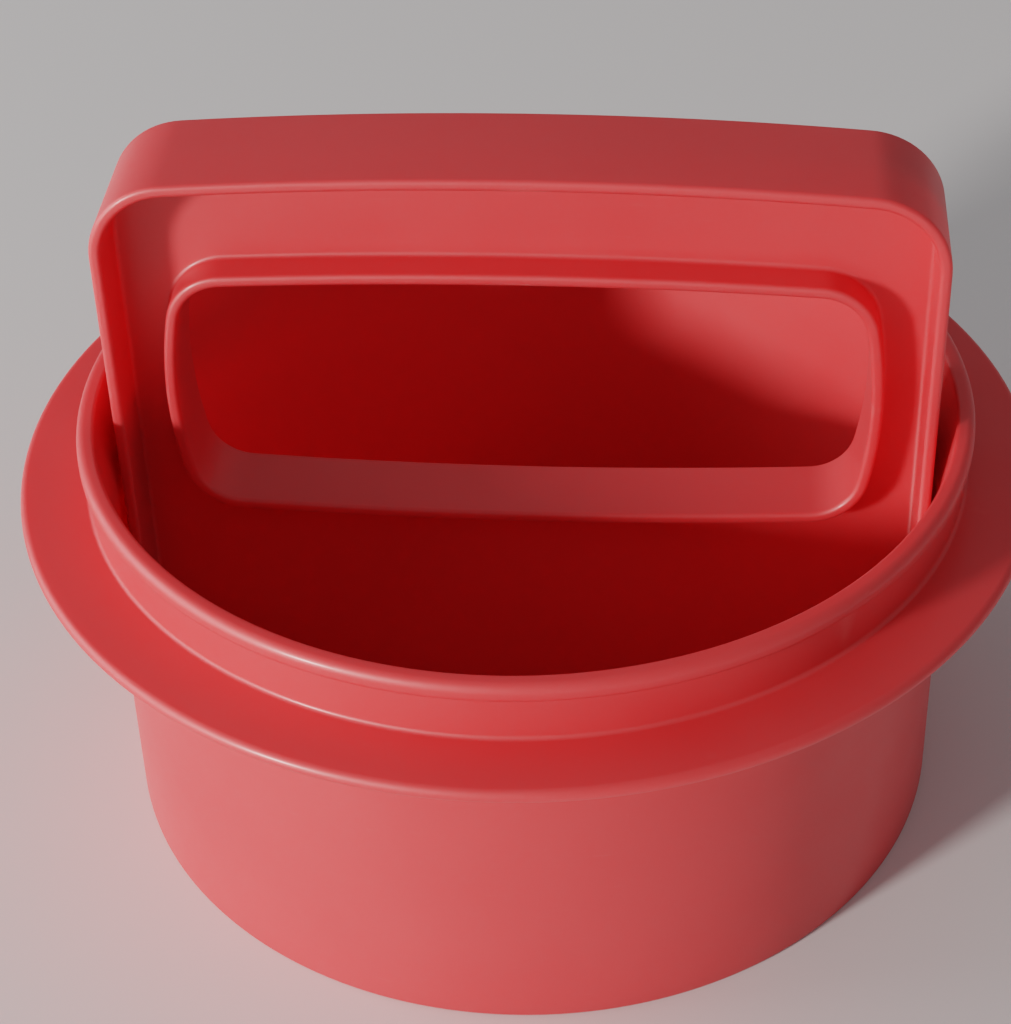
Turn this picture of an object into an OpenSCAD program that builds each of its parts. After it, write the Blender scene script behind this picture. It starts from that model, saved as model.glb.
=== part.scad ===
// Hand press for round patties: an open mould ring with a collar and a flange,
// and a plunger of two mouldings, the ribbed press plate and the looped grip that
// stands on it. Millimetres, +Z up. The origin is the middle of the ring's foot,
// on the table. The grip's web lies in the XZ plane and fingers go through along Y.

/* [Mould ring] */
// Inside diameter of the mould ring's straight bore
bore_d = 111.7; // [90:0.1:150]
// Height of the mould ring
ring_h = 60; // [45:0.2:90]
// Thickness of the ring's wall
ring_wall = 1.6; // [1.2:0.1:3]
// Rounding of the wall's foot edges
foot_edge_r = 0.5; // [0.2:0.1:0.6]
// How far the bore's mouth flares out at the rim, on each side
mouth_flare = 1.75; // [0.5:0.05:3]
// How far the flange stands out from the collar
flange_w = 9.3; // [5:0.1:20]
// Thickness of the flange
flange_t = 2; // [1.6:0.1:4]
// Height of the collar, from the flange's top face to the rim
collar_h = 8.8; // [6:0.1:16]
// Fillets between the wall and the flange
flange_fillet_r = 1.1; // [0.5:0.1:2]
// How far the rim's bead stands out from the collar
bead_proud = 0.8; // [0.4:0.1:1.5]
// Height of the rim's bead
bead_h = 2.6; // [1.6:0.1:4]
// Rounding of the rim's inner edge
rim_edge_r = 0.4; // [0.2:0.1:0.6]

/* [Press plate] */
// Gap between the plate and the ring's bore, all round
plate_gap = 0.6; // [0.4:0.1:1.5]
// Thickness of the plate's disc
plate_t = 2; // [1.6:0.1:4]
// Rounding of the disc's lower outer edge
plate_edge_r = 0.8; // [0.4:0.1:1.2]
// Radius of the round press ribs under the disc
rib_r = 1.6; // [1:0.1:1.6]
// Number of press ribs
rib_count = 4; // [2:1:6]
// Distance from one press rib to the next
rib_pitch = 12; // [6:0.5:14]

/* [Grip] */
// Height of the grip's top above the ring's rim
grip_rise = 37.3; // [25:0.1:60]
// Depth of the grip's outer band, front to back
grip_depth = 17.5; // [12:0.5:30]
// Thickness of the grip's outer band
band_t = 1.6; // [1.2:0.1:3]
// Rounding of the grip's upper corners, on the outside
grip_corner_r = 11; // [6:0.5:20]
// Radius of the slight crown along the grip's top
grip_crown_r = 580; // [300:10:1200]
// Thickness of the web in the middle of the grip
web_t = 1.6; // [1.2:0.1:3]

/* [Finger hole] */
// Distance from the grip's side faces to the hole's widest point
hole_side = 8.6; // [5:0.1:15]
// Distance from the grip's top face to the hole
hole_drop = 17.4; // [12:0.1:20]
// Height of the hole
hole_h = 36.7; // [28:0.1:42]
// Radius of the hole's bowed sides
hole_bow_r = 62; // [40:1:200]
// Radius of the hole's slightly crowned top and bottom
hole_crown_r = 690; // [300:10:1200]
// Rounding of the hole's corners
hole_corner_r = 6.5; // [3:0.5:10]
// Thickness of the band round the hole
hole_band_t = 1.6; // [1.2:0.1:3]
// Depth of the band round the hole, front to back
hole_band_depth = 11.2; // [8:0.2:11.6]

/* [Hidden] */

$fn = 96;
CORAL = [0.86, 0.36, 0.35];
ARC_STEPS = 8;
CROWN_STEPS = 24;

bore_r = bore_d / 2;
wall_r = bore_r + ring_wall;
mouth_r = bore_r + mouth_flare;
collar_r = mouth_r + ring_wall;
flange_r = collar_r + flange_w;
flange_top_z = ring_h - collar_h;
flange_low_z = flange_top_z - flange_t;
flange_edge_r = flange_t / 2;
bead_r = bead_h / 2;

plate_r = bore_r - plate_gap;
plate_low_z = rib_r;
plate_top_z = plate_low_z + plate_t;

grip_top_z = ring_h + grip_rise;
grip_half_w = sqrt(pow(plate_r, 2) - pow(grip_depth / 2, 2));
hole_half_w = grip_half_w - hole_side;
hole_top_z = grip_top_z - hole_drop;
hole_low_z = hole_top_z - hole_h;

// Points along an arc from angle a to angle b, which may run either way.
function arc(c, r, a, b, steps = ARC_STEPS) =
    [for (i = [0:steps]) c + r * [cos(a + (b - a) * i / steps), sin(a + (b - a) * i / steps)]];

// Where a circle about p, radius rp, crosses a circle about q, radius rq,
// on the right of the way from p to q.
function crossing(p, rp, q, rq) =
    let (
        gap = norm(q - p),
        way = (q - p) / gap,
        along = (rp * rp - rq * rq + gap * gap) / (2 * gap),
        aside = sqrt(rp * rp - along * along)
    )
    p + along * way + aside * [way[1], -way[0]];

function angle_of(v) = atan2(v[1], v[0]);

// The same points on the other side of the Z axis, in the reverse order.
function mirrored(points) = [for (i = [len(points) - 1:-1:0]) [-points[i][0], points[i][1]]];

// An upright outline with straight sides, a crowned top and rounded upper corners.
function arch_outline(half_w, low_z, top_z, crown_r, corner_r) =
    let (
        crown_c = [0, top_z - crown_r],
        corner_x = half_w - corner_r,
        corner_z = crown_c[1] + sqrt(pow(crown_r - corner_r, 2) - corner_x * corner_x),
        turn = angle_of([corner_x, corner_z] - crown_c),
        right = concat([[half_w, low_z]], arc([corner_x, corner_z], corner_r, 0, turn))
    )
    concat(right, arc(crown_c, crown_r, turn, 180 - turn, CROWN_STEPS), mirrored(right));

// A closed outline with bowed sides, crowned top and bottom and four round corners.
function bowed_outline(half_w, low_z, top_z, bow_r, crown_r, corner_r) =
    let (
        mid_z = (low_z + top_z) / 2,
        bow_c = [half_w - bow_r, mid_z],
        crown_c = [0, top_z - crown_r],
        corner_c = crossing(crown_c, crown_r - corner_r, bow_c, bow_r - corner_r),
        side = angle_of(corner_c - bow_c),
        turn = angle_of(corner_c - crown_c),
        upper = concat(
            arc(bow_c, bow_r, 0, side),
            arc(corner_c, corner_r, side, turn),
            arc(crown_c, crown_r, turn, 90, CROWN_STEPS / 2)
        ),
        half = concat([for (i = [len(upper) - 1:-1:0]) [upper[i][0], 2 * mid_z - upper[i][1]]], upper)
    )
    concat(half, mirrored(half));

// Half of the ring's section, to the right of the axis.
module ring_section() {
    polygon(concat(
        arc([bore_r + foot_edge_r, foot_edge_r], foot_edge_r, 180, 270),
        arc([wall_r - foot_edge_r, foot_edge_r], foot_edge_r, 270, 360),
        arc([wall_r + flange_fillet_r, flange_low_z - flange_fillet_r], flange_fillet_r, 180, 90),
        arc([flange_r - flange_edge_r, flange_low_z + flange_edge_r], flange_edge_r, -90, 90),
        arc([collar_r + flange_fillet_r, flange_top_z + flange_fillet_r], flange_fillet_r, 270, 180),
        [[collar_r, ring_h - bead_h]],
        arc([collar_r + bead_proud - bead_r, ring_h - bead_r], bead_r, -50, 90),
        arc([mouth_r + rim_edge_r, ring_h - rim_edge_r], rim_edge_r, 90, 180),
        [[bore_r, flange_low_z]]
    ));
}

// Half of the plate's section, without its ribs.
module plate_section() {
    polygon(concat(
        [[0, plate_low_z]],
        arc([plate_r - plate_edge_r, plate_low_z + plate_edge_r], plate_edge_r, 270, 360),
        [[plate_r, plate_top_z]],
        [[0, plate_top_z]]
    ));
}

// The finger hole's outline, grown by a margin all round.
module hole_shape(grow) {
    polygon(bowed_outline(
        hole_half_w + grow,
        hole_low_z - grow,
        hole_top_z + grow,
        hole_bow_r + grow,
        hole_crown_r + grow,
        hole_corner_r + grow
    ));
}

// The grip's outline, less a margin all round.
module grip_shape(shrink) {
    polygon(arch_outline(
        grip_half_w - shrink,
        plate_top_z + shrink,
        grip_top_z - shrink,
        grip_crown_r - shrink,
        grip_corner_r - shrink
    ));
}

// Stands a flat outline upright on the XZ plane, with its thickness shared front and back.
module upright(thickness) {
    rotate([90, 0, 0])
        linear_extrude(height = thickness, center = true)
        children();
}

// The open ring that shapes the patty and guides the plunger.
module mould_ring() {
    color(CORAL)
        rotate_extrude()
        ring_section();
}

// The disc that presses the meat, with ribs below.
module press_plate() {
    color(CORAL) {
        rotate_extrude()
            plate_section();
        for (i = [1:rib_count])
            rotate_extrude()
                translate([i * rib_pitch, rib_r])
                circle(rib_r, $fn = 24);
    }
}

// The looped grip: a web with a finger hole, a band round its edge and one round the hole.
module grip() {
    color(CORAL) {
        upright(grip_depth)
            difference() {
                grip_shape(0);
                grip_shape(band_t);
            }
        upright(hole_band_depth)
            difference() {
                hole_shape(hole_band_t);
                hole_shape(0);
            }
        upright(web_t)
            difference() {
                grip_shape(0);
                hole_shape(0);
            }
    }
}

mould_ring();
press_plate();
grip();
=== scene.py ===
# %% [markdown]
# # A patty press in moulded plastic
#
# The press has an open mould ring with a flange and a collar, and a plunger that
# lifts out of it: a ribbed press plate with a looped grip. It is all one coral
# plastic, about 1.6 mm thick everywhere, so the look depends on three things:
# soft round edges, even walls, and a plastic that glows red where light bounces
# about inside it.
#
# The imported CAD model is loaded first. It gives the places and sizes, and it stays
# as it is: each new piece stands for one of its nodes.

# %% Load the frame
import math

import bpy
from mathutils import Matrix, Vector


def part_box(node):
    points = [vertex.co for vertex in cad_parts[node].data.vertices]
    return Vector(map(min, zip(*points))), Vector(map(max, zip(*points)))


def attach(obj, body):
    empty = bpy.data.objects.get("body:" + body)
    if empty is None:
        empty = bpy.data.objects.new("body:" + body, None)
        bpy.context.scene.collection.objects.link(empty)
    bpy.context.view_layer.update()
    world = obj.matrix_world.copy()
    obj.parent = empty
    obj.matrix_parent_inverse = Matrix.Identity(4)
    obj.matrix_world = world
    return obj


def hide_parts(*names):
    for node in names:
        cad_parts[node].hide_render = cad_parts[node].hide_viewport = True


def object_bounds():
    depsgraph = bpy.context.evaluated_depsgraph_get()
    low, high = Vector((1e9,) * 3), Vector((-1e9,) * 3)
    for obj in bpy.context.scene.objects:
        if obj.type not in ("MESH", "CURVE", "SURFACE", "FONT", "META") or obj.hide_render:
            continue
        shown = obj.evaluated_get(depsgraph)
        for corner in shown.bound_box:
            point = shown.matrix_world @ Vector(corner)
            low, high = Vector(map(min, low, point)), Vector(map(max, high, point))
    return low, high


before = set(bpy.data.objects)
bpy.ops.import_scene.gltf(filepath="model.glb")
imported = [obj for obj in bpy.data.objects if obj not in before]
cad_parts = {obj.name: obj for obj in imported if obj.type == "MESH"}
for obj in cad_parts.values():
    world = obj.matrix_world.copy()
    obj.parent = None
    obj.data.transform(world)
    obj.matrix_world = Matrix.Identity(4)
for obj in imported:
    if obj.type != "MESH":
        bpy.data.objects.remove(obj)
cad_low, cad_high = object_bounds()
print("CAD box, mm", [round(v * 1000, 1) for v in (*cad_low, *cad_high)])

# %% [markdown]
# ## Sizes
#
# A moulder's drawing is in millimetres and Blender works in metres, so every size
# below is written in millimetres times MM. The big sizes come from the boxes of the
# CAD nodes. The small ones, such as a wall or a fillet, are what a moulder would
# call the details of the section, and are given by name where they are needed.

# %% The sizes of the press
MM = 0.001
ring_low, ring_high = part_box("mould_ring")
plate_low, plate_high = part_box("press_plate")
grip_low, grip_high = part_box("grip")

rim_z = ring_high.z
flange_r = ring_high.x
plate_r = plate_high.x
grip_half_w = grip_high.x
grip_half_d = grip_high.y
grip_foot_z = grip_low.z
grip_top_z = grip_high.z
print("rim height", round(rim_z / MM, 2), "plate radius", round(plate_r / MM, 2), "mm")

# %% [markdown]
# ## Working by selection
#
# Blender's edit tools act on whatever is selected. At a screen a hand clicks on an
# edge; here a small test picks it by its place, for example "every point above the
# flange". Selection is set while the mesh is in object mode, and the tool then runs
# in edit mode. These few helpers do that switching, so that the modelling below
# reads as a list of steps.

# %% Helpers for selecting and editing
NEAR = 1e-6  # points closer than this, in metres, are at the same place


def select_nothing():
    for picked in bpy.context.selected_objects:
        picked.select_set(False)


def make_active(piece):
    """Makes this piece the only one that is selected."""
    select_nothing()
    piece.select_set(True)
    bpy.context.view_layer.objects.active = piece


def pick_points(piece, test):
    """Selects the points whose place passes the test, with the edges and faces between them."""
    mesh = piece.data
    picked = [bool(test(point.co)) for point in mesh.vertices]
    mesh.vertices.foreach_set("select", picked)
    for parts in (mesh.edges, mesh.polygons):
        parts.foreach_set("select", [all(picked[i] for i in part.vertices) for part in parts])
    return sum(picked)


def edit(piece, mode, tool, **settings):
    """Runs one edit-mode tool on what is selected, in point, edge or face mode."""
    make_active(piece)
    bpy.context.tool_settings.mesh_select_mode = [m == mode for m in ("VERT", "EDGE", "FACE")]
    bpy.ops.object.mode_set(mode="EDIT")
    tool(**settings)
    bpy.ops.object.mode_set(mode="OBJECT")


def push(piece, mode, x=0.0, y=0.0, z=0.0):
    """Extrudes what is selected and moves the new part along."""
    edit(piece, mode, bpy.ops.mesh.extrude_region_move, TRANSFORM_OT_translate={"value": (x, y, z)})


def near(a, b):
    return abs(a - b) < NEAR


# %% [markdown]
# ## Drawing an outline
#
# Every piece starts as a flat outline standing upright. It is drawn as a maker
# draws it, with a rule and compasses: a straight line is an extruded point, and an
# arc is a point spun about the arc's centre, so that an arc can run smoothly into
# the next line. A corner that only has to be eased is drawn sharp and rounded later.


# %% Draw with rule and compasses
ENDS_MEET = 1e-5  # an outline's two ends are joined when they are this close, in metres


def start_outline(name, x, y, z):
    """A new piece that is a single picked point: one corner of an upright square."""
    select_nothing()
    bpy.ops.mesh.primitive_plane_add(
        size=1.0, location=(x + 0.5, y, z + 0.5), rotation=(math.pi / 2, 0, 0)
    )
    bpy.ops.object.transform_apply(location=True, rotation=True, scale=True)
    piece = bpy.context.active_object
    piece.name = name
    piece.data.name = name
    pick_points(piece, lambda p: p.x > x + 0.5 or p.z > z + 0.5)
    edit(piece, "VERT", bpy.ops.mesh.delete, type="VERT")
    pick_points(piece, lambda p: True)
    return piece


def line_to(piece, x, z):
    """Draws a straight line from the outline's end."""
    end = next(p.co for p in piece.data.vertices if p.select)
    push(piece, "VERT", x=x - end.x, z=z - end.z)


def arc_about(piece, x, z, turn, steps):
    """Draws an arc from the outline's end, anticlockwise as seen from the front."""
    centre = (x, piece.data.vertices[0].co.y, z)
    edit(piece, "VERT", bpy.ops.mesh.spin, steps=steps, angle=turn, center=centre, axis=(0, 1, 0))


def close_outline(piece):
    """Joins the outline's two ends, if they meet, and fills it with one face."""
    pick_points(piece, lambda p: True)
    edit(piece, "VERT", bpy.ops.mesh.remove_doubles, threshold=ENDS_MEET)
    pick_points(piece, lambda p: True)
    edit(piece, "VERT", bpy.ops.mesh.edge_face_add)
    pick_points(piece, lambda p: True)


def ease_corners(piece, test, radius, steps):
    """Rounds the corners of a flat outline that pass the test."""
    pick_points(piece, test)
    edit(piece, "VERT", bpy.ops.mesh.bevel, offset=radius, segments=steps, affect="VERTICES")


# %% [markdown]
# ## The mould ring
#
# The ring is a turned shape, one section swept round an axis. It could be made of
# stacked cylinders, but then each fillet would be a separate bevel round a circle.
# It is simpler to draw the section once and round its corners while it is flat.
# Going round from the foot: the straight barrel, the flange, the collar above it,
# the rim with its small bead, and the mouth, which narrows to the bore so that the
# plunger finds its way in.

# %% Draw the ring's section
WALL = 1.6 * MM
PLATE_GAP = 0.6 * MM
MOUTH_FLARE = 1.75 * MM
FLANGE_T = 2.0 * MM
COLLAR_H = 8.8 * MM
BEAD_PROUD = 0.8 * MM
BEAD_H = 2.6 * MM

bore_r = plate_r + PLATE_GAP
barrel_r = bore_r + WALL
mouth_r = bore_r + MOUTH_FLARE
collar_r = mouth_r + WALL
bead_r = collar_r + BEAD_PROUD
foot_z = ring_low.z
flange_top_z = rim_z - COLLAR_H
flange_low_z = flange_top_z - FLANGE_T
bead_low_z = rim_z - BEAD_H

ring = start_outline("mould_ring_shell", bore_r, 0.0, foot_z)
for x, z in (
    (barrel_r, foot_z),
    (barrel_r, flange_low_z),
    (flange_r, flange_low_z),
    (flange_r, flange_top_z),
    (collar_r, flange_top_z),
    (collar_r, bead_low_z),
    (bead_r, bead_low_z),
    (bead_r, rim_z),
    (mouth_r, rim_z),
    (bore_r, flange_low_z),
):
    line_to(ring, x, z)
close_outline(ring)
print("section has", len(ring.data.vertices), "corners")

# %% [markdown]
# The flange's edge is a full round, its roots have fillets, and the bead is a soft
# roll that turns under a little. Everything else is only eased, as a mould's
# parting edges are.

# %% Round the section's corners
FULL_ROUND = 0.999  # of half the width, so that the two arcs of a full round don't touch
FLANGE_UNDER_FILLET = 1.1 * MM
FLANGE_TOP_FILLET = 0.6 * MM
BEAD_TOP_ROUND = 1.2 * MM
BEAD_UNDER_ROUND = 0.75 * MM
RIM_INNER_ROUND = 0.45 * MM
FOOT_ROUND = 0.5 * MM


def corner(x, z):
    """The test for a section's corner at this radius and height."""
    return lambda p: near(p.x, x) and near(p.z, z)


ease_corners(ring, lambda p: near(p.x, flange_r), FLANGE_T / 2 * FULL_ROUND, 8)
ease_corners(ring, corner(barrel_r, flange_low_z), FLANGE_UNDER_FILLET, 6)
ease_corners(ring, corner(collar_r, flange_top_z), FLANGE_TOP_FILLET, 6)
ease_corners(ring, corner(bead_r, rim_z), BEAD_TOP_ROUND, 8)
ease_corners(ring, corner(bead_r, bead_low_z), BEAD_UNDER_ROUND, 6)
ease_corners(ring, corner(mouth_r, rim_z), RIM_INNER_ROUND, 5)
ease_corners(ring, lambda p: near(p.z, foot_z), FOOT_ROUND, 5)
print("section outline has", len(ring.data.vertices), "points")

# %% [markdown]
# Spinning leaves the first and the last copy of the section lying on each other, so
# the doubles are merged, and the normals are then turned outwards. A weighted
# normal modifier lets the wide flat faces decide how the shading runs, so that the
# flats look flat and only the rounds catch the light.


# %% Spin the section into a ring
SPIN_STEPS = 192


def spin_round(piece):
    """Sweeps a section's outline round the Z axis."""
    pick_points(piece, lambda p: True)
    edit(piece, "VERT", bpy.ops.mesh.delete, type="ONLY_FACE")
    if pick_points(piece, lambda p: near(p.x, 0.0)):  # an edge on the axis sweeps out nothing
        edit(piece, "EDGE", bpy.ops.mesh.delete, type="EDGE")
    pick_points(piece, lambda p: True)
    full_turn = {"angle": 2 * math.pi, "center": (0, 0, 0), "axis": (0, 0, 1)}
    edit(piece, "VERT", bpy.ops.mesh.spin, steps=SPIN_STEPS, **full_turn)


def close_up(piece):
    """Welds the seams and turns every normal outwards."""
    pick_points(piece, lambda p: True)
    edit(piece, "VERT", bpy.ops.mesh.remove_doubles, threshold=NEAR)
    pick_points(piece, lambda p: True)
    edit(piece, "VERT", bpy.ops.mesh.normals_make_consistent, inside=False)


def finish_surface(piece):
    """Smooth shading that leaves the flats flat."""
    make_active(piece)
    bpy.ops.object.shade_smooth()
    bpy.ops.object.modifier_add(type="WEIGHTED_NORMAL")
    piece.modifiers[-1].keep_sharp = True
    bpy.ops.object.modifier_apply(modifier=piece.modifiers[-1].name)


def report(piece):
    """Prints the piece's size, and how many of its edges aren't shared by exactly two faces."""
    uses = [0] * len(piece.data.edges)
    for loop in piece.data.loops:
        uses[loop.edge_index] += 1
    open_edges = sum(count != 2 for count in uses)
    size = [round(side / MM, 2) for side in piece.dimensions]
    print(piece.name, size, "mm,", len(piece.data.polygons), "faces,", open_edges, "open edges")


spin_round(ring)
close_up(ring)
finish_surface(ring)
report(ring)

# %% [markdown]
# ## The press plate
#
# The plate is a thin disc that just clears the bore, with half-round ribs under it
# that leave rings in the meat. The ribs could be four thin tori sunk into a disc,
# but then there would be faces hidden inside the plate. Instead the plate is one
# section, spun like the ring. Each rib is drawn as a square tooth, and rounding its
# two corners by half its width makes it a half-round.

# %% Draw and spin the press plate
RIB_R = 1.6 * MM
RIB_PITCH = 12.0 * MM
RIB_COUNT = 4
PLATE_T = 2.0 * MM
PLATE_EDGE_ROUND = 0.8 * MM

rib_z = plate_low.z
disc_low_z = rib_z + RIB_R
disc_top_z = disc_low_z + PLATE_T

plate = start_outline("press_plate_disc", 0.0, 0.0, disc_low_z)
for i in range(1, RIB_COUNT + 1):
    inner_x, outer_x = i * RIB_PITCH - RIB_R, i * RIB_PITCH + RIB_R
    tooth = ((inner_x, disc_low_z), (inner_x, rib_z), (outer_x, rib_z), (outer_x, disc_low_z))
    for x, z in tooth:
        line_to(plate, x, z)
for x, z in ((plate_r, disc_low_z), (plate_r, disc_top_z), (0.0, disc_top_z)):
    line_to(plate, x, z)
close_outline(plate)
ease_corners(plate, lambda p: near(p.z, rib_z), RIB_R * FULL_ROUND, 8)
ease_corners(plate, corner(plate_r, disc_low_z), PLATE_EDGE_ROUND, 6)
spin_round(plate)
close_up(plate)
finish_surface(plate)
report(plate)

# %% [markdown]
# ## The grip
#
# The grip is one moulding: a band bent into an arch, a thin web across it, and a
# smaller band that lines the finger hole. It could be carved from a block with
# booleans, but their edges are hard to round evenly. Built from outlines, every
# edge is a clean chain of edges that takes a bevel. The grip is the same front and
# back, so only its front half is modelled, and a mirror makes the rest.
#
# The arch has straight legs, two round shoulders and a top with a slight crown. The
# crown is an arc of very large radius, so its centre lies far below the table. Each
# shoulder's centre is where it touches both the leg and the crown.

# %% Draw the arch
CROWN_R = 580 * MM
SHOULDER_R = 11 * MM
SHOULDER_STEPS = 18
CROWN_STEPS = 24

crown_z = grip_top_z - CROWN_R
shoulder_x = grip_half_w - SHOULDER_R
shoulder_z = crown_z + math.sqrt((CROWN_R - SHOULDER_R) ** 2 - shoulder_x**2)
shoulder_turn = math.atan2(shoulder_z - crown_z, shoulder_x)

grip = start_outline("grip_loops", grip_half_w, 0.0, grip_foot_z)
line_to(grip, grip_half_w, shoulder_z)
arc_about(grip, shoulder_x, shoulder_z, shoulder_turn, SHOULDER_STEPS)
arc_about(grip, 0, crown_z, math.pi - 2 * shoulder_turn, CROWN_STEPS)
arc_about(grip, -shoulder_x, shoulder_z, shoulder_turn, SHOULDER_STEPS)
line_to(grip, -grip_half_w, grip_foot_z)
close_outline(grip)
print("arch outline has", len(grip.data.vertices), "points")

# %% [markdown]
# From here the band is a chain of faces: the outline is pulled forwards to the
# band's front edge, inset by the wall's thickness, and pushed back to the web. One
# more inset leaves a strip of web next to the band, so that the fillet between them
# has flat ground to run out on.

# %% Raise the outer band
BAND_T = 1.6 * MM
WEB_T = 1.6 * MM
FILLET_GROUND = 1.0 * MM

pick_points(grip, lambda p: True)
push(grip, "FACE", y=-grip_half_d)
edit(grip, "FACE", bpy.ops.mesh.inset, thickness=BAND_T, use_even_offset=True)
push(grip, "FACE", y=grip_half_d - WEB_T / 2)
edit(grip, "FACE", bpy.ops.mesh.inset, thickness=FILLET_GROUND, use_even_offset=True)
edit(grip, "FACE", bpy.ops.mesh.delete, type="ONLY_FACE")
pick_points(grip, lambda p: near(p.y, 0))
edit(grip, "FACE", bpy.ops.mesh.delete, type="ONLY_FACE")
print("outer band has", len(grip.data.polygons), "faces")

# %% [markdown]
# The finger hole is wider than it is tall. Its sides bow out, its top is crowned
# like the arch, and its corners are round, so no edge is hard on the fingers. The
# band round it is made like the outer band, but starts from the web and comes only
# part of the way forwards.

# %% Draw the finger hole and raise its band
HOLE_SIDE = 8.6 * MM
HOLE_DROP = 17.4 * MM
HOLE_H = 36.7 * MM
HOLE_BOW_R = 62 * MM
HOLE_CROWN_R = 690 * MM
HOLE_CORNER_R = 6.5 * MM
HOLE_BAND_T = 1.6 * MM
HOLE_BAND_D = 11.2 * MM
HOLE_STEPS = 14

hole_half_w = grip_half_w - HOLE_SIDE
hole_top_z = grip_top_z - HOLE_DROP
hole_mid_z = hole_top_z - HOLE_H / 2


def meeting_point(ax, az, a_r, bx, bz, b_r):
    """The upper right point where a circle about a crosses a circle about b."""
    gap = math.hypot(bx - ax, bz - az)
    way_x, way_z = (bx - ax) / gap, (bz - az) / gap
    along = (a_r**2 - b_r**2 + gap**2) / (2 * gap)
    aside = math.sqrt(a_r**2 - along**2)
    return ax + along * way_x + aside * abs(way_z), az + along * way_z + aside * abs(way_x)


bow_x = hole_half_w - HOLE_BOW_R
hole_crown_z = hole_top_z - HOLE_CROWN_R
corner_x, corner_z = meeting_point(
    0, hole_crown_z, HOLE_CROWN_R - HOLE_CORNER_R, bow_x, hole_mid_z, HOLE_BOW_R - HOLE_CORNER_R
)
corner_up = corner_z - hole_mid_z
bow_turn = math.atan2(corner_up, corner_x - bow_x)
crown_turn = math.atan2(corner_z - hole_crown_z, corner_x)
crown_up = hole_mid_z - hole_crown_z
print("hole corner centre, mm", round(corner_x / MM, 2), round(corner_up / MM, 2))

margin = HOLE_BAND_T + FILLET_GROUND
hole = start_outline("hole_band", hole_half_w + margin, -WEB_T / 2, hole_mid_z)
arc_about(hole, bow_x, hole_mid_z, bow_turn, HOLE_STEPS)
arc_about(hole, corner_x, corner_z, crown_turn - bow_turn, HOLE_STEPS)
arc_about(hole, 0, hole_crown_z, math.pi - 2 * crown_turn, CROWN_STEPS)
arc_about(hole, -corner_x, corner_z, crown_turn - bow_turn, HOLE_STEPS)
arc_about(hole, -bow_x, hole_mid_z, 2 * bow_turn, 2 * HOLE_STEPS)
arc_about(hole, -corner_x, hole_mid_z - corner_up, crown_turn - bow_turn, HOLE_STEPS)
arc_about(hole, 0, hole_mid_z + crown_up, math.pi - 2 * crown_turn, CROWN_STEPS)
arc_about(hole, corner_x, hole_mid_z - corner_up, crown_turn - bow_turn, HOLE_STEPS)
arc_about(hole, bow_x, hole_mid_z, bow_turn, HOLE_STEPS)
close_outline(hole)

edit(hole, "FACE", bpy.ops.mesh.inset, thickness=FILLET_GROUND, use_even_offset=True)
push(hole, "FACE", y=-(HOLE_BAND_D - WEB_T) / 2)
edit(hole, "FACE", bpy.ops.mesh.inset, thickness=HOLE_BAND_T, use_even_offset=True)
push(hole, "FACE", y=HOLE_BAND_D / 2)
edit(hole, "FACE", bpy.ops.mesh.delete, type="ONLY_FACE")
print("hole band has", len(hole.data.polygons), "faces")


# %% [markdown]
# Now the edges. Each front edge gets a round and each root a fillet. The tool that
# selects sharp edges finds them all, and a test by place keeps the ones wanted.

# %% Round the bands' edges and fill their roots
SHARP = math.radians(40)


def bevel_sharp(piece, test, radius, steps):
    """Rounds the sharp edges whose two ends both pass the test, and counts them."""
    pick_points(piece, lambda p: False)
    edit(piece, "EDGE", bpy.ops.mesh.edges_select_sharp, sharpness=SHARP)
    mesh = piece.data
    ends = [[mesh.vertices[i].co for i in edge.vertices] for edge in mesh.edges]
    keep = [edge.select and all(test(p) for p in pair) for edge, pair in zip(mesh.edges, ends)]
    pick_points(piece, lambda p: False)
    mesh.edges.foreach_set("select", keep)
    on_edge = {i for edge, kept in zip(mesh.edges, keep) if kept for i in edge.vertices}
    mesh.vertices.foreach_set("select", [i in on_edge for i in range(len(mesh.vertices))])
    settings = {"offset": radius, "segments": steps, "affect": "EDGES", "loop_slide": True}
    edit(piece, "EDGE", bpy.ops.mesh.bevel, **settings)
    return sum(keep)


BAND_ROUND = 0.6 * MM
ROOT_FILLET = 0.6 * MM

web_y = -WEB_T / 2
print("band edges", bevel_sharp(grip, lambda p: near(p.y, -grip_half_d), BAND_ROUND, 5))
print("band roots", bevel_sharp(grip, lambda p: near(p.y, web_y), ROOT_FILLET, 6))
print("hole edges", bevel_sharp(hole, lambda p: near(p.y, -HOLE_BAND_D / 2), BAND_ROUND, 5))
print("hole roots", bevel_sharp(hole, lambda p: near(p.y, web_y), ROOT_FILLET, 6))

# %% [markdown]
# The two pieces are joined, and the web is filled in between their open loops. The
# mirror then gives the back half and welds the two along the middle. The web could
# have been a plate with a hole cut in it, but filling between the loops makes it
# meet both bands exactly.

# %% Join the bands with the web and mirror the grip
HALVES_MEET = 1e-5  # the halves are welded where they are this close, in metres

make_active(grip)
hole.select_set(True)
bpy.ops.object.join()
pick_points(grip, lambda p: False)
edit(grip, "EDGE", bpy.ops.mesh.select_non_manifold, use_wire=True, use_boundary=True)
loops = {i for edge in grip.data.edges if edge.select for i in edge.vertices}
picked = {p.index for p in grip.data.vertices if p.index in loops and near(p.co.y, web_y)}
grip.data.vertices.foreach_set("select", [p.index in picked for p in grip.data.vertices])
wanted = [edge.select and set(edge.vertices) <= picked for edge in grip.data.edges]
grip.data.edges.foreach_set("select", wanted)
edit(grip, "EDGE", bpy.ops.mesh.fill)

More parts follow.
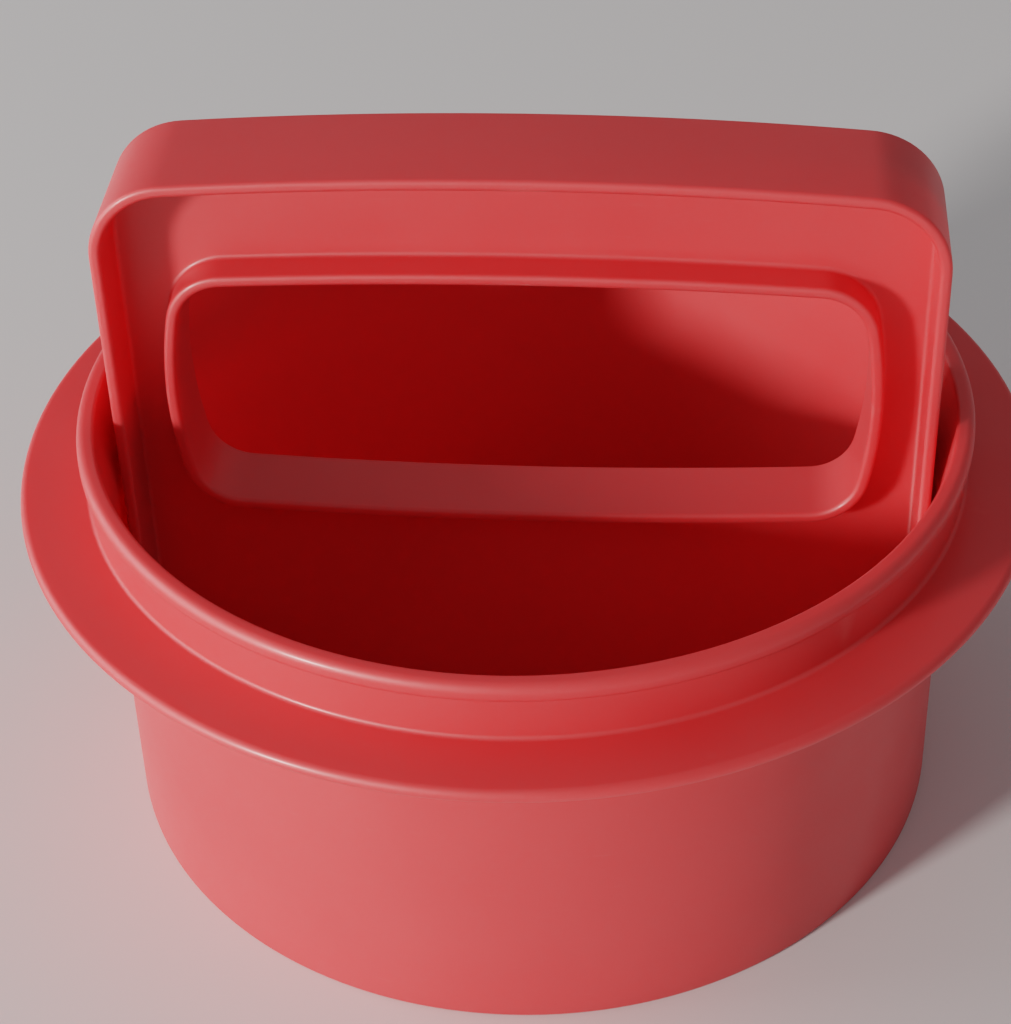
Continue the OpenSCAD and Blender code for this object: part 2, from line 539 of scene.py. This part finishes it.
make_active(grip)
bpy.ops.object.modifier_add(type="MIRROR")
grip.modifiers[-1].use_axis = (False, True, False)
grip.modifiers[-1].merge_threshold = HALVES_MEET
bpy.ops.object.modifier_apply(modifier=grip.modifiers[-1].name)
close_up(grip)
finish_surface(grip)
report(grip)

# %% [markdown]
# ## The plastic
#
# The press is moulded in one coral plastic. Its colour is deep, and its walls are
# thin enough for red light to pass through them, while green and blue are soaked up
# at once. That is why the inside of the ring glows red even where no light reaches
# it. Subsurface scattering with a long red radius and very short green and blue
# ones does this. What makes the plastic read as plastic and not paint is small: the
# melt's faint clouding, a broad soft gloss with a thin clearer skin over it, a fine
# orange peel, convex edges a little paler, partly as wear where hands and the meat
# have rubbed them and partly as a painted highlight, and a few hairlines. Each is
# one short chain of nodes, on Object coordinates, so that nothing slides when the
# plunger moves.


# %% Make the moulded plastic
def add_node(tree, kind, **settings):
    """A new node with these settings."""
    node = tree.nodes.new(kind)
    for name, value in settings.items():
        setattr(node, name, value)
    return node


def noise(tree, place, size, detail, stretch=(1, 1, 1), offset=(0, 0, 0)):
    """Noise in patches of about this size in metres, longer along the axes with more stretch."""
    mapping = add_node(tree, "ShaderNodeMapping")
    mapping.inputs["Location"].default_value = offset
    mapping.inputs["Scale"].default_value = [1 / s for s in stretch]
    tree.links.new(place, mapping.inputs["Vector"])
    pattern = add_node(tree, "ShaderNodeTexNoise")
    pattern.inputs["Scale"].default_value = 1 / size
    pattern.inputs["Detail"].default_value = detail
    tree.links.new(mapping.outputs["Vector"], pattern.inputs["Vector"])
    return pattern.outputs["Fac"]


def spread(tree, value, low, high, to_low, to_high):
    """Maps low..high onto to_low..to_high, and holds it there."""
    node = add_node(tree, "ShaderNodeMapRange", clamp=True)
    ends = (("From Min", low), ("From Max", high), ("To Min", to_low), ("To Max", to_high))
    for name, number in ends:
        node.inputs[name].default_value = number
    tree.links.new(value, node.inputs["Value"])
    return node.outputs["Result"]


def blend_colour(tree, amount, first, second):
    """Mixes two colours. Each is a colour or the output of another node."""
    node = add_node(tree, "ShaderNodeMix", data_type="RGBA")
    tree.links.new(amount, node.inputs["Factor"])
    for socket, colour in ((node.inputs[6], first), (node.inputs[7], second)):
        if isinstance(colour, tuple):
            socket.default_value = (*colour, 1)
        else:
            tree.links.new(colour, socket)
    return node.outputs[2]


def combine(tree, operation, first, second):
    """Does sums with two values. Each is a number or the output of another node."""
    node = add_node(tree, "ShaderNodeMath", operation=operation)
    for socket, value in ((node.inputs[0], first), (node.inputs[1], second)):
        if isinstance(value, float):
            socket.default_value = value
        else:
            tree.links.new(value, socket)
    return node.outputs[0]


CORAL = (0.81, 0.055, 0.057)
CORAL_DEEP = (0.77, 0.046, 0.048)
# A paler coral: the colour of rubbed wear and hairlines, and also of a painted highlight on the
# convex edges.
CORAL_WORN_AND_HIGHLIGHT = (0.82, 0.16, 0.155)


def moulded_plastic(name, melt_offset, rub_along):
    """The coral plastic. rub_along stretches the hairlines the way the piece is rubbed."""
    material = bpy.data.materials.new(name)
    material.use_nodes = True
    tree = material.node_tree
    plastic = tree.nodes["Principled BSDF"]
    place = add_node(tree, "ShaderNodeTexCoord").outputs["Object"]

    clouds = spread(tree, noise(tree, place, 30 * MM, 2.0, offset=melt_offset), 0.3, 0.7, 0.0, 1.0)
    colour = blend_colour(tree, clouds, CORAL_DEEP, CORAL)

    # Paler convex edges found by pointiness: partly rubbed wear, partly a painted highlight where
    # light catches the edges.
    raised = add_node(tree, "ShaderNodeNewGeometry").outputs["Pointiness"]
    patchy = spread(tree, noise(tree, place, 6 * MM, 4.0, offset=melt_offset), 0.42, 0.68, 0.1, 1.0)
    wear_and_edge_highlight = combine(tree, "MULTIPLY", spread(tree, raised, 0.53, 0.62, 0.0, 0.5), patchy)
    colour = blend_colour(tree, wear_and_edge_highlight, colour, CORAL_WORN_AND_HIGHLIGHT)

    streaks = noise(tree, place, 0.6 * MM, 3.0, stretch=rub_along, offset=melt_offset)
    hairlines = spread(tree, streaks, 0.70, 0.78, 0.0, 0.22)
    colour = blend_colour(tree, hairlines, colour, CORAL_WORN_AND_HIGHLIGHT)
    tree.links.new(colour, plastic.inputs["Base Color"])

    gloss = spread(tree, noise(tree, place, 12 * MM, 5.0, offset=melt_offset), 0.3, 0.7, 0.50, 0.58)
    scuffed = combine(tree, "ADD", gloss, combine(tree, "MULTIPLY", hairlines, 0.5))
    tree.links.new(scuffed, plastic.inputs["Roughness"])

    peel = noise(tree, place, 1.6 * MM, 2.0, offset=melt_offset)
    skin = combine(tree, "SUBTRACT", peel, combine(tree, "MULTIPLY", hairlines, 0.8))
    bump = add_node(tree, "ShaderNodeBump")
    bump.inputs["Strength"].default_value = 0.35
    bump.inputs["Distance"].default_value = 0.04 * MM
    tree.links.new(skin, bump.inputs["Height"])
    tree.links.new(bump.outputs["Normal"], plastic.inputs["Normal"])

    plastic.inputs["Specular IOR Level"].default_value = 1.0
    plastic.inputs["Coat Weight"].default_value = 0.25
    plastic.inputs["Coat Roughness"].default_value = 0.22
    plastic.inputs["Subsurface Weight"].default_value = 0.55
    plastic.inputs["Subsurface Radius"].default_value = (1.0, 0.05, 0.05)
    plastic.inputs["Subsurface Scale"].default_value = 5 * MM
    return material


ring_plastic = moulded_plastic("ring_plastic_coral", (0.31, 0.12, 0.05), (9, 9, 1))
plunger_plastic = moulded_plastic("plunger_plastic_coral", (0.04, 0.27, 0.18), (16, 1, 1))
print("made", ring_plastic.name, "and", plunger_plastic.name)

# %% [markdown]
# Each new piece takes its plastic, rides on its body, and stands for its CAD node.
# The plate and the grip are on the plunger, so they lift together.

# %% Put the pieces on their bodies
for piece, node, body, slot, plastic in (
    (ring, "mould_ring", "ring", "ring_plastic", ring_plastic),
    (plate, "press_plate", "plunger", "plunger_plastic", plunger_plastic),
    (grip, "grip", "plunger", "plunger_plastic", plunger_plastic),
):
    piece.data.materials.clear()
    piece.data.materials.append(plastic)
    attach(piece, body)
    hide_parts(node)
    print(piece.name, "rides on", body)

# %% [markdown]
# ## The table, the light and the camera
#
# The press stands on a pale table. Low daylight comes from the front left, soft
# enough to blur the shadows' edges. It is what lights the front wall more than the
# flange, and it throws the rim's shadow across the legs of the grip. A wider, weaker
# light stands for the bright side of the room, so that faces turned to the left are
# the brightest, and the pale room gives the rest.

# %% Lay the table
select_nothing()
bpy.ops.mesh.primitive_plane_add(size=12, location=(0, 0, cad_low.z))
table = bpy.context.active_object
table.name = "pale_table"
table_finish = bpy.data.materials.new("pale_table_finish")
table_finish.use_nodes = True
top = table_finish.node_tree.nodes["Principled BSDF"]
top.inputs["Base Color"].default_value = (0.80, 0.775, 0.775, 1)
top.inputs["Roughness"].default_value = 0.8
table.data.materials.append(table_finish)
print("table top at", round(table.location.z / MM, 2), "mm")

# %% Light the scene
middle = Vector((0, 0, (cad_low.z + cad_high.z) / 2))


def soft_light(name, azimuth, height, distance, shape, size, power, colour):
    """An area light that faces the press. Azimuth 0 is in front and -90 left, in degrees."""
    turn, rise = math.radians(azimuth), math.radians(height)
    flat = math.cos(rise)
    toward = Vector((math.sin(turn) * flat, -math.cos(turn) * flat, math.sin(rise)))
    select_nothing()
    bpy.ops.object.light_add(type="AREA", location=middle + toward * distance)
    light = bpy.context.active_object
    light.name = name
    light.rotation_euler = toward.to_track_quat("Z", "Y").to_euler()
    light.data.shape = shape
    light.data.size = size
    light.data.energy = power
    light.data.color = colour
    print(name, "at", [round(v, 2) for v in light.location])


soft_light(
    "low_daylight", azimuth=-46, height=13.5, distance=2.0,
    shape="DISK", size=0.26, power=39, colour=(1.0, 0.97, 0.94),
)
soft_light(
    "bright_side", azimuth=-95, height=15, distance=1.6,
    shape="SQUARE", size=1.2, power=12, colour=(1.0, 1.0, 1.0),
)

room = bpy.data.worlds.new("pale_room")
bpy.context.scene.world = room
room.use_nodes = True
walls = room.node_tree.nodes["Background"]
walls.inputs["Color"].default_value = (0.97, 0.98, 1.0, 1)
walls.inputs["Strength"].default_value = 0.20

# %% [markdown]
# The camera looks down into the press from just right of the front, close enough for
# the near rim to look much larger than the far one. The view transform is a film-like
# one with extra contrast: it lets the brightly lit wall turn a paler pink, and keeps
# the shaded inside a deep red.

# %% Set the camera
scene = bpy.context.scene
scene.view_settings.view_transform = "Filmic"
scene.view_settings.look = "Medium High Contrast"
select_nothing()
bpy.ops.object.camera_add(
    location=(23.78 * MM, -281.15 * MM, 259.0 * MM),
    rotation=(math.radians(52.066), math.radians(1.478), math.radians(4.298)),
)
camera = bpy.context.active_object
camera.data.lens = 90.23
camera.data.sensor_width = 36
camera.data.clip_start = 0.01
camera.data.clip_end = 30
scene.camera = camera
print("camera is", round((camera.location - middle).length, 3), "m from the press")
